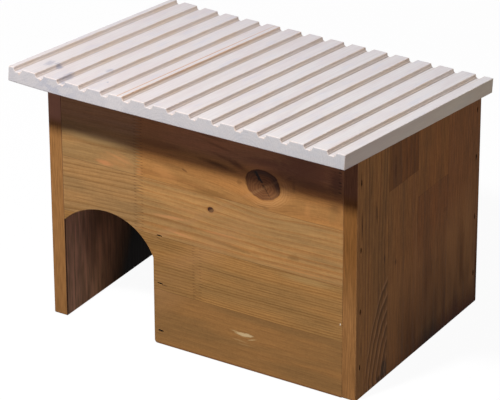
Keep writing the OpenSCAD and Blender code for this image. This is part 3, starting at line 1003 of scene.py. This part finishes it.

# %% [markdown]
# The side panels
#
# Their planks stand upright, about seventy millimetres wide, and took the stain darker and
# redder. The right wall has streaks of old resin near the front, butt joints where a new
# length begins, and at its foot a knot that pulls the grain into arcs. Towards the foot at
# the back they are painted darker, painted shade where the house's own shadow keeps light
# off the floor beside them.

# %% Tables of the side panels
side_rows = [
    (96, 30, 6.5, 0.80, 4.0, 0.0, (153, 109, 67), (110, 72, 43)),
    (96, 30, 6.5, 0.80, 4.0, 0.0, (153, 109, 67), (110, 72, 43)),
    (160, 60, 5.0, 0.45, 3.0, 0.0, (148, 105, 65), (120, 81, 49)),
    (90, 40, 6.0, 0.65, 3.0, 0.0, (128, 87, 53), (94, 61, 37)),
    (60, 70, 4.6, 0.50, 3.0, 0.0, (138, 97, 61), (108, 73, 45)),
    (210, 60, 5.5, 0.50, 3.0, 0.0, (150, 107, 65), (122, 82, 48)),
    (330, 60, 4.2, 0.50, 3.0, 0.0, (142, 101, 64), (112, 77, 47)),
    (330, 60, 4.2, 0.50, 3.0, 0.0, (142, 101, 64), (112, 77, 47))]
right_marks = [
    ((278, 8), (20, 2.2), 0, 0.7, 0.8, (70, 42, 24), 0.6),
    ((220, 11), (24, 1.8), 1, 0.7, 0.8, (58, 34, 20), 0.75),
    ((222, 44), (18, 2.6), 4, 0.7, 0.9, (62, 38, 24), 0.7),
    ((262, 31), (22, 2.0), -2, 0.7, 0.8, (74, 46, 28), 0.5),
    ((262, 86), (26, 4.0), 0, 0.8, 0.9, (64, 40, 26), 0.6),
    ((258, 112), (18, 2.6), 0, 0.8, 0.9, (78, 48, 30), 0.5),
    ((156, 63), (8, 2.2), 0, 0.6, 0.7, (62, 40, 26), 0.7),
    ((141, 89), (5, 3.4), 0, 0.8, 0.6, (70, 46, 30), 0.6),
    ((158, 206), (5, 6), 0, 0.8, 0.6, (84, 54, 36), 0.4),
    ((70, 246), (44, 1.6), 0, 0.8, 0.9, (64, 40, 27), 0.55),
    ((110, 181), (60, 1.4), 0, 0.8, 0.9, (82, 52, 34), 0.5),
    ((150, 166), (50, 1.6), 0, 0.8, 0.9, (148, 108, 76), 0.35),
    ((250, 150), (20, 7), 6, 0.9, 0.7, (176, 122, 72), 0.35),
    ((12, 172), (34, 40), 0, 0.9, 0.8, (44, 29, 21), 0.7),
    ((140, 137), (80, 1.2), 0, 0.8, 0.7, (172, 130, 92), 0.45),
    ((170, 190), (46, 1.6), 0, 0.9, 0.8, (164, 120, 84), 0.4),
    ((150, 22), (60, 2.0), 0, 0.9, 0.9, (176, 128, 78), 0.35),
    ((5, 56), (7, 10), 0, 0.7, 0.9, (36, 22, 14), 0.8),
    ((12, 44), (5, 14), -8, 0.8, 0.9, (150, 100, 56), 0.5)]
flame_along, flame_across, flame_step = 10.0, 78.0, 19.0
print("marks on the right wall:", len(right_marks))


# %% Side panel finishes
def side_shade(place, tone, wood):
    """Darker towards the foot at the back, painted shade where the house's own shadow keeps light off
    the floor beside it, a little darker and warmer at the back, painted shade against the card on
    the right, and paler on the front edge, where the board's own grain lies across and takes less
    stain."""
    along, across = place.parts()[:2]
    # Painted shade: darker towards the foot at the back.
    tone = tinted(tone, (114, 86, 78), along.fall(12.0, 150.0) * across.climb(10.0, 190.0))
    # Painted shade: a little darker and warmer towards the back, where the card on the right lights the wall
    # more.
    tone = tinted(tone, blend(across.climb(30.0, 190.0), (254, 261, 262), (249, 243, 246)))
    tone = shaded(tone, wood["Fibre"].climb(0.32, 0.68, 0.84, 1.14))
    edge = shaded((168, 119, 68), wood["Fibre"].climb(0.3, 0.7, 0.66, 1.12))
    return blend(across.fall(0.1, 0.9, 0.85), tone, edge)


def right_shade(place, tone, wood):
    """Adds the flame round the foot knot: lines at equal steps of a distance from the knot, only on
    the front plank. It is six tenths of sqrt((2 across)^2 + along^2) and four tenths of the plain
    sum 2 across + along, which pulls the ovals out towards a slant."""
    along, across = place.parts()[:2]
    run = along - flame_along
    rise = (across - flame_across) * 2.0
    far = join(run, rise).length() * 0.6 + (abs(run) + abs(rise)) * 0.4 + wood["Drift"] * 22.0
    step = (far / flame_step).do("FRACT")
    zone = far.fall(130.0, 150.0) * across.band(10.0, 34.0, 70.6, 71.0)
    tone = coats(tone, (step.band(0.35, 0.9, 0.93, 1.0) * zone * 0.65, (54, 33, 22)),
                 (step.band(0.0, 0.10, 0.14, 0.3) * zone * 0.5, (184, 138, 104)))
    tone = side_shade(place, tone, wood)
    edge = across.fall(0.3, 1.2)
    tone = tinted(tone, (212, 203, 188), edge * along.climb(96.0, 190.0))
    # Painted shade: the front edge turns colder under the lid's shadow.
    return tinted(tone, (266, 274, 340), edge * along.climb(250.0, 264.0))


def left_shade(place, tone, wood):
    """The inner face is raw and dusty pine with smudges along the grain. It is painted rosy and
    bright near the door, with a warmer patch where light gets in, and near black further in and
    higher up: painted light and painted shade. Glaze ran round the front corner, and the top of
    the front edge is painted paler, painted light that gets in under the lid's left end."""
    along, across, deep = place.parts()
    # Painted light and painted shade: bright near the door, near black further in and darker higher up, for
    # the light that comes in at the doorway.
    raw = blend(across.climb(14.0, 84.0), (246, 194, 146), (220, 166, 116))
    high = along.climb(56.0, 104.0) * across.climb(28.0, 62.0)
    raw = coats(raw, ((along * -0.4 + across).climb(52.0, 128.0), (17, 10, 7)), (high * 0.45, (40, 24, 18)))
    raw = tinted(raw, (170, 150, 140), wood["Ring"] * 0.35)
    raw = shaded(raw, cloud(place, (60, 7, 7), 3.0, 0.6, 5.5).climb(0.35, 0.65, 0.70, 1.15))
    raw = blend(across.fall(1.6, 4.0, 0.9), raw, (64, 34, 22))
    # Painted light on the top of the front edge, where light gets in under the lid's left end.
    edge_top_light = across.fall(0.3, 1.2) * along.climb(250.0, 264.0)
    tone = blend(edge_top_light * 0.8, side_shade(place, tone, wood), (206, 152, 116))
    return blend(deep.climb(17.5, 17.9), tone, raw)


right_pine = stained_pine(
    "right side pine", "ZYX", (0, front_y, right_hi.x), (71, 139, 211), (1000, 237, 202, 1000), side_rows,
    9.0, knots=[(14, 64, 5.5, 1.7, foot_knot)], marks=right_marks, shade=right_shade, fingers=False,
    shine=0.03)
left_pine = stained_pine(
    "left side pine", "ZYX", (0, front_y, left_lo.x), (70, 141, 214), (1000, 150, 1000, 96), side_rows,
    31.0, shade=left_shade, fingers=False, shine=0.02)
divider_pine = stained_pine(
    "divider pine", "ZYX", (0, divider_lo.y, divider_lo.x), (66,), (1000, 1000), side_rows[:4], 57.0)
back_pine = stained_pine(
    "back pine", "XZY", (left_lo.x, 0, back_y), (68, 139, 210), (150, 1000, 262, 96), front_rows, 71.0,
    knots=[(118, 176, 7.5, 1.3, big_knot)])

# %% [markdown]
# The whitewashed lid
#
# Whitewash is thin milk paint: it lies nearly opaque on the ribs, stays a little rosy where the
# wood shines through, and pools cold and blue-grey over knots. The groove walls are warmer and
# paler, partly because a brush hardly reaches them and partly as painted bounce light, with a
# line of painted shade in the crease at their feet. One glue line between two planks shows as a
# thin orange thread. The cut ends drink more paint and turn greyer, their rings show as faint
# arcs, and here and there the corner of a groove has chipped to bare wood.

# %% Lid: ribs and grooves
floor_half, top_half = groove_floor * 500, groove_top * 500
glue_seams = (149.6, 297.5)
blush_at = 156.0
lid_piths = [(0, 46), (215, -30), (322, -12)]
blue_spots = [((41.3, 29), (15, 6.5), 8, 0.5), ((47.3, 39.1), (8, 7), 0, 0.75),
              ((24.9, 67.1), (16, 5), 4, 0.6), ((8.8, 71.1), (8, 8), 0, 0.55),
              ((69.2, 93.2), (10, 4.5), 0, 0.55), ((32.7, 115.2), (3, 2), 20, 0.8)]


def rib_tones(place, wood, beat, bare):
    """Paint over rings, with rosy patches and cool ones. `beat` is the distance from the middle of
    the nearest groove, and bands of it are the groove's wall, painted warm and pale, partly bare
    wood and partly painted bounce light, the line in the crease at its foot, painted shade, and
    its lip."""
    along, across = place.parts()[:2]
    patch = cloud(place, (70, 16, 16), 3.0, 0.55, 1.3)
    cool = cloud(place, (40, 12, 12), 2.0, 0.5, 6.1)
    tone = blend(wood["Ring"] * 0.30, (228, 222, 218), (206, 194, 186))
    tone = coats(tone, (patch.climb(0.42, 0.68, 0.0, 0.45), (220, 208, 205)),
                 (cool.climb(0.50, 0.75, 0.0, 0.35), (208, 208, 216)))
    tone = shaded(tone, wood["Fibre"].climb(0.30, 0.72, 0.955, 1.02))
    wall = beat.band(floor_half, floor_half + 0.6, top_half, top_half + 0.7)
    crease_shade = beat.band(floor_half - 0.7, floor_half + 0.1, floor_half + 0.5, floor_half + 1.2)
    lip = beat.off(top_half + 0.5).fall(0.2, 1.1)
    fade = along.fall(210.0, 340.0, 1.0, 0.5)
    thread = across.off(glue_seams[0]).fall(0.3, 0.9) * fade
    blush = across.off(blush_at).fall(0.3, 1.0) * fade
    # The walls, which face away from the lamp, are painted paler and warmer, partly bare wood and partly
    # painted light; the crease at their feet gets painted shade, stronger to the right.
    tone = coats(tone, (wall * bare.climb(0.3, 0.7, 0.45, 0.90), (226, 208, 188)),
                 (crease_shade * across.climb(100.0, 320.0, 0.3, 0.6), (136, 116, 100)),
                 (lip * bare.climb(0.45, 0.7, 0.0, 0.35), (206, 176, 152)),
                 (thread * patch.climb(0.3, 0.55, 0.6, 0.95), (204, 150, 100)),
                 (blush * patch.climb(0.3, 0.6, 0.25, 0.6), (212, 166, 122)))
    return marked(tone, place, [(centre, half, turn, 0.8, 1.0, (158, 160, 174), amount)
                                for centre, half, turn, amount in blue_spots])


print("glue lines on the lid at", glue_seams, "mm, and blue spots:", len(blue_spots))


# %% Lid: cut ends and the whole finish
def end_tones(place, wood, beat):
    """Grey blots, a blue stain over the knot, faint rings, rays from the heart, and chips at the
    right corner of each groove: near its middle by `beat`, high up, and in the first part of a
    count that starts again at every groove."""
    across, deep = place.parts()[1:]
    blot = cloud(place, (9, 14, 6), 3.0, 0.6, 3.1)
    blue = across.off(66.0).fall(6.0, 40.0, 0.75)
    rays = ((deep * 0.6 + across) / 1.8).do("PINGPONG", 0.5).climb(0.15, 0.4)
    tone = blend(across.climb(0.0, 440.0), (206, 203, 200), (198, 194, 190))
    tone = coats(tone, (blot.climb(0.45, 0.62, 0.0, 0.4), (190, 190, 191)),
                 (blue * blot.climb(0.40, 0.60, 0.0, 0.7), (178, 181, 190)),
                 (wood["Ring"] * 0.14, (150, 148, 146)),
                 (rays * across.off(146.0).fall(8.0, 16.0, 0.5), (226, 222, 216)))
    tone = shaded(tone, cloud(place, (1.4, 1.4, 1.4), 3.0, 0.6, 8.8).climb(0.3, 0.7, 0.93, 1.05))
    turn = ((across - groove_first * 1000) / (groove_pitch * 1000)).do("FRACT")
    chip = beat.fall(floor_half - 0.6, floor_half + 0.8) * deep.climb(11.0, 13.0)
    chip *= turn.climb(0.0, 0.06) * turn.do("LESS_THAN", 0.5) * blot.climb(0.40, 0.55, 0.15, 0.7)
    return blend(chip, tone, (226, 203, 184))


def whitewash(name):
    """Pine under milk paint. The lid's grain runs down the slope, so places are measured from its
    front left corner along its own directions: a dot product with each gives the distance."""
    finish = bpy.data.materials.new(name)
    tree = blank_tree(finish)
    flat = millimetres(tree) - tuple((lid_start - (lid_wide / 2, 0, 0)) * 1000)
    across = flat.parts()[0]
    along = flat.dot(tuple(down_slope))
    place = join(along, across, flat.dot(tuple(up)))
    count = sum(across > seam for seam in glue_seams)
    pith_across, pith_deep = measures(count, lid_piths)
    wood = use(growth, place=place, pith_across=pith_across, pith_deep=pith_deep, ring_width=3.0,
               wander=2.0, seed=count * 9.1 + 2.0)
    beat = (across - groove_first * 1000).do("PINGPONG", groove_pitch * 500)
    bare = cloud(place, (50, 9, 9), 2.0, 0.6, 4.4)

    ends = along.fall(0.15, 0.5) + along.climb(lid_long * 1000 - 0.5, lid_long * 1000 - 0.15)
    tone = blend(ends, rib_tones(place, wood, beat, bare), end_tones(place, wood, beat))
    tone = marked(tone, join(along, across), [((318, 431), (2.2, 1.2), 0, 0.4, 0.5, (250, 246, 236), 1.0)])
    # Painted light: the right flank is tinted against the colour of the card on the right.
    flank_light_tint = across.climb(lid_wide * 1000 - 0.5, lid_wide * 1000 - 0.15)
    tone = tinted(tone, blend(along.climb(0.0, 330.0), (256, 249, 235), (246, 239, 218)), flank_light_tint)
    # Painted shade: the paint is a little darker at the front and the left, where the key lamp is nearer.
    tone = tinted(tone, blend(along.climb(0.0, 300.0), (243, 242, 243), (255, 256, 258)))
    tone = tinted(tone, blend(across.climb(120.0, 440.0), (251, 251, 251), (254, 257, 257)))
    worn_and_slot_shade = wear_and_slot_shade_of(tree)
    tone = blend(worn_and_slot_shade * bare.climb(0.4, 0.7, 0.1, 0.5), tone, (214, 192, 170))
    return surface(finish, tone, wood["Fibre"].climb(0.2, 0.8, 0.62, 0.76),
                   wood["Ring"] * 0.5 + wood["Fibre"] * 0.8, 0.3, Specular_IOR_Level=0.1)


white_pine = whitewash("whitewashed pine")

# %% [markdown]
# Steel for the hinges and the staples
#
# The hinges are zinc-plated: a bright grey metal with cloudy patches where the plating is
# thicker, and fine rubbing lines. Staple wire is plain galvanised steel that has gone dull and
# brownish in wet wood, and it is made darker still, painted shade that keeps the staple slits
# near black. Both are metals, so their colour lives in the reflection and the patches in the
# roughness.

# %% Metal finishes
def steel(name, light, dark, rust, smooth):
    """Clouds mix a light and a dark tone, small specks add rust, and fine lines roughen it."""
    finish = bpy.data.materials.new(name)
    place = millimetres(blank_tree(finish))
    patch = cloud(place, (5, 5, 5), 3.0, 0.6)
    lines = cloud(place, (9, 0.35, 0.35), 2.0, 0.6, 2.0)
    speck = cloud(place, (1.3, 1.3, 1.3), 3.0, 0.65, 5.0).climb(0.58, 0.72)
    tone = coats(light, (patch.climb(0.35, 0.65), dark), (speck * rust, (104, 62, 38)))
    return surface(finish, tone, patch * 0.22 + smooth + lines * 0.14, lines + speck, 0.2, 0.0001,
                   Metallic=speck.fall(0.0, 1.0, 1.0, 1.0 - rust))


zinc = steel("zinc plated steel", (206, 208, 210), (176, 180, 186), 0.1, 0.22)
# The wire is darker than dull steel alone: partly painted shade, so that the slits stay near black.
wire = steel("dull staple wire", (44, 37, 32), (26, 21, 19), 0.5, 0.6)

# %% [markdown]
# Dress the pieces
#
# Each new board takes the place of its plain twin in the frame and rides on the same body: the
# lid board turns with the lid and all the rest stay with the house. Hinges, pins, screws and
# staples keep the frame's own shapes, which are exact, and only get their metal.

# %% Boards replace the plain ones
for piece, node, body, finish, slot in (
        (wall_left, "side_left", "house", left_pine, "side_pine"),
        (wall_right, "side_right", "house", right_pine, "side_pine"),
        (wall_front, "front_wall", "house", front_pine, "front_pine"),
        (wall_back, "back_wall", "house", back_pine, "front_pine"),
        (divider, "partition", "house", divider_pine, "front_pine"),
        (lid_board, "lid_panel", "lid", white_pine, "white_pine")):
    piece.data.materials.clear()
    piece.data.materials.append(finish)
    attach(piece, body)
    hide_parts(node)

for node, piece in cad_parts.items():
    if node.startswith(("hinge", "staples")):
        piece.data.materials.clear()
        piece.data.materials.append(wire if node.startswith("staples") or node.endswith("pin") else zinc)

# %% [markdown]
# The table and the light
#
# A product photograph stands its subject on a white sweep. The floor is white to the camera but
# only grey to the light, so that it doesn't brighten the foot of the walls more than the
# real one did, and a little of it stays plain paint, so that the house keeps a faint
# shadow. The key lamp stands high in front: its height follows from how far the lid's
# shadow falls down the front, and its size from how soft that edge is. Four weak cards
# fill the rest: one lights the right wall, two lift the shade under the lid, and one behind
# keeps the back and the left wall readable from there.

# %% Floor
floor_wide, floor_z = 9, -0.0001


def seen_white(tree):
    """One where the camera looks straight, through glass or by a reflection, and nothing for light."""
    seen = put(tree, "ShaderNodeLightPath").outputs
    rays = [Wire(seen[label]) for label in ("Is Camera Ray", "Is Glossy Ray", "Is Transmission Ray")]
    return sum(rays).do("MINIMUM", 1.0)


floor = add_piece("floor", [(x, y, floor_z) for x, y in (
    (-floor_wide, -floor_wide), (floor_wide, -floor_wide), (floor_wide, floor_wide),
    (-floor_wide, floor_wide))], [(0, 1, 2, 3)])
sweep = bpy.data.materials.new("white sweep")
sweep_tree = blank_tree(sweep)
white_share = seen_white(sweep_tree)
speckle = cloud(Wire(put(sweep_tree, "ShaderNodeTexCoord").outputs["Object"]), (0.4, 0.4, 0.4))
paper = put(sweep_tree, "ShaderNodeBsdfDiffuse", {
    "Color": blend(white_share, (100, 100, 100), (250, 250, 250)),
    "Roughness": speckle.climb(0.0, 1.0, 0.4, 0.5)})
glow = put(sweep_tree, "ShaderNodeEmission", (colour(255, 255, 255), 1.0))
both = put(sweep_tree, "ShaderNodeMixShader", (white_share * 0.95, paper.outputs[0], glow.outputs[0]))
put(sweep_tree, "ShaderNodeOutputMaterial", (both.outputs[0],))
floor.data.materials.append(sweep)
print("floor: %d m wide" % (2 * floor_wide))


# %% Lamps and sky
def softbox(name, way, distance, wide, power, tint):
    """An area lamp that looks at the house along `way` from a distance."""
    lamp = bpy.data.lights.new(name, "AREA")
    lamp.shape = "DISK"
    lamp.size = wide
    lamp.energy = power
    lamp.color = tint
    way = Vector(way).normalized()
    stand = bpy.data.objects.new(name, lamp)
    stand.location = Vector((0, front_y, 0.22)) + way * distance
    stand.rotation_euler = way.to_track_quat("Z", "Y").to_euler()
    bpy.context.scene.collection.objects.link(stand)


softbox("key lamp", (-0.10, -0.555, 0.815), 1.9, 0.20, 48.5, (1, 1, 1))
softbox("card on the right", (0.97, 0.20, 0.24), 1.6, 0.5, 4.4, (1, 0.94, 0.84))
softbox("card in front", (0.50, -0.85, 0.10), 1.5, 0.6, 1.25, (1, 0.78, 1.25))
softbox("card on the left", (-0.90, -0.45, 0.20), 1.4, 0.4, 0.5, (1, 0.78, 1.1))
softbox("card behind", (-0.62, 0.78, 0.0), 1.8, 0.8, 6.0, (1, 0.96, 0.92))

room = bpy.data.worlds.new("white room")
room_tree = blank_tree(room)
white_share = seen_white(room_tree)
dim = 0.08
sky = put(room_tree, "ShaderNodeBackground", (
    blend(white_share, (250, 221, 284), (255, 255, 255)), white_share * (1.0 - dim) + dim))
put(room_tree, "ShaderNodeOutputWorld", (sky.outputs[0],))
bpy.context.scene.world = room
bpy.context.scene.view_settings.view_transform = "Standard"
print("lamps:", len(bpy.data.lights))
